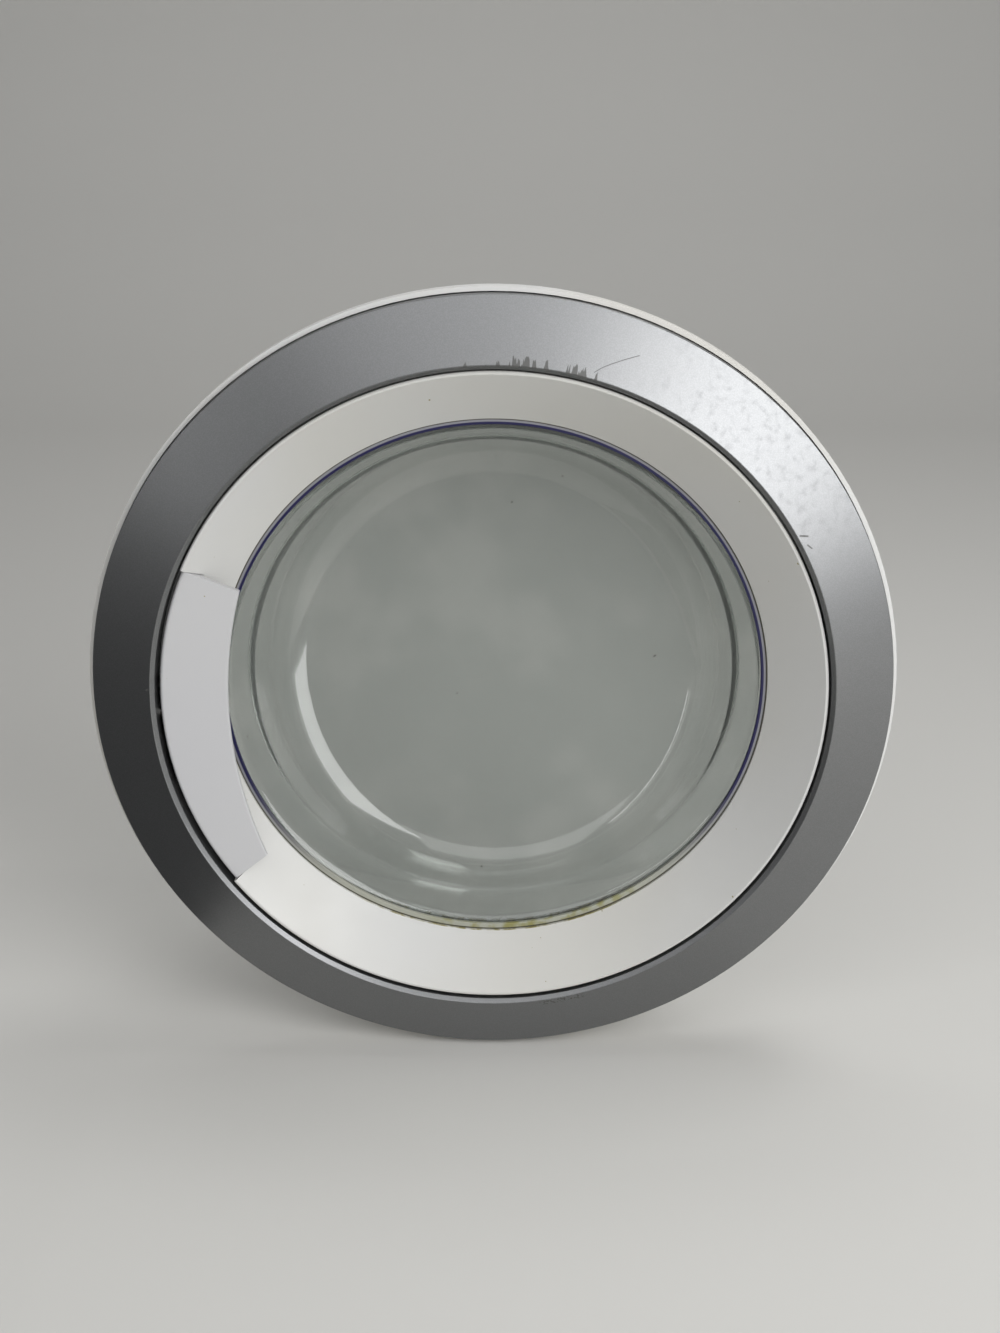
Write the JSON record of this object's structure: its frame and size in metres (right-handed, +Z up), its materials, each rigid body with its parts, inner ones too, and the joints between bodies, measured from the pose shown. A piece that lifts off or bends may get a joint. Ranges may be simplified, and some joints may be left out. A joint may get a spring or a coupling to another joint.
{
  "type": "washing machine door",
  "caption": "Round front-loader door with a conical silver ring, white funnel ring, glass bowl, rear frame, sprung pull handle with latch hook, and a swan-neck hinge.",
  "frame": {"origin": "on the porthole axis in the closing plane, the rear face of the rear frame's rim", "axes": "+X to the right as seen from the front, +Z up as installed, the front of the door faces -Y"},
  "size_m": [0.442, 0.1312, 0.442],
  "materials": {
    "silver_paint": "satin metallic paint",
    "white_plastic": "satin, slightly yellowed",
    "handle_plastic": "satin",
    "frame_plastic": "satin",
    "clear_glass": "clear with smears",
    "seal_rubber": "matt dark blue",
    "zinc_steel": "zinc plated",
    "spring_steel": "bright wire",
    "die_cast": "as cast",
    "hinge_paint": "grey powder coat",
    "bush_plastic": "natural"
  },
  "bodies": {
    "hinge": {"hinge_leaf": "hinge_paint", "hinge_bushes": "bush_plastic"},
    "door": {"outer_ring": "silver_paint", "trim_ring": "white_plastic", "glass_bowl": "clear_glass", "glass_seal": "seal_rubber", "rear_frame": "frame_plastic", "frame_screws": "zinc_steel", "handle_pin": "zinc_steel", "pin_clips": "spring_steel", "latch_bracket": "zinc_steel", "bracket_screws": "zinc_steel", "handle_spring": "spring_steel", "hook_spring": "spring_steel", "hinge_pin": "zinc_steel", "hinge_clips": "spring_steel", "hinge_bearing": "die_cast", "bearing_screws": "zinc_steel"},
    "pull": {"handle": "handle_plastic"},
    "hook": {"latch_hook": "die_cast"}
  },
  "joints": [
    {"name": "door_swing", "type": "hinge", "parent": "hinge", "child": "door", "pos_m": [0.207, -0.0072, 0], "axis": [0, 0, 1], "range_deg": [0, 125]},
    {"name": "handle_pull", "type": "hinge", "parent": "door", "child": "pull", "pos_m": [-0.17121, -0.0192, -0.01649], "axis": [0.0958, 0, -0.9954], "range_deg": [0, 15], "stiffness_Nm_per_rad": 1, "springref_deg": -17.19, "deforming": ["handle_spring"]},
    {"name": "hook_turn", "type": "hinge", "parent": "door", "child": "hook", "pos_m": [-0.17121, -0.0192, -0.01649], "axis": [0.0958, 0, -0.9954], "range_deg": [0, 15], "stiffness_Nm_per_rad": 0.6, "springref_deg": -17.19, "deforming": ["hook_spring"]}
  ],
  "couplings": [
    {"joint": "hook_turn", "follows": "handle_pull", "ratio": 1}
  ]
}
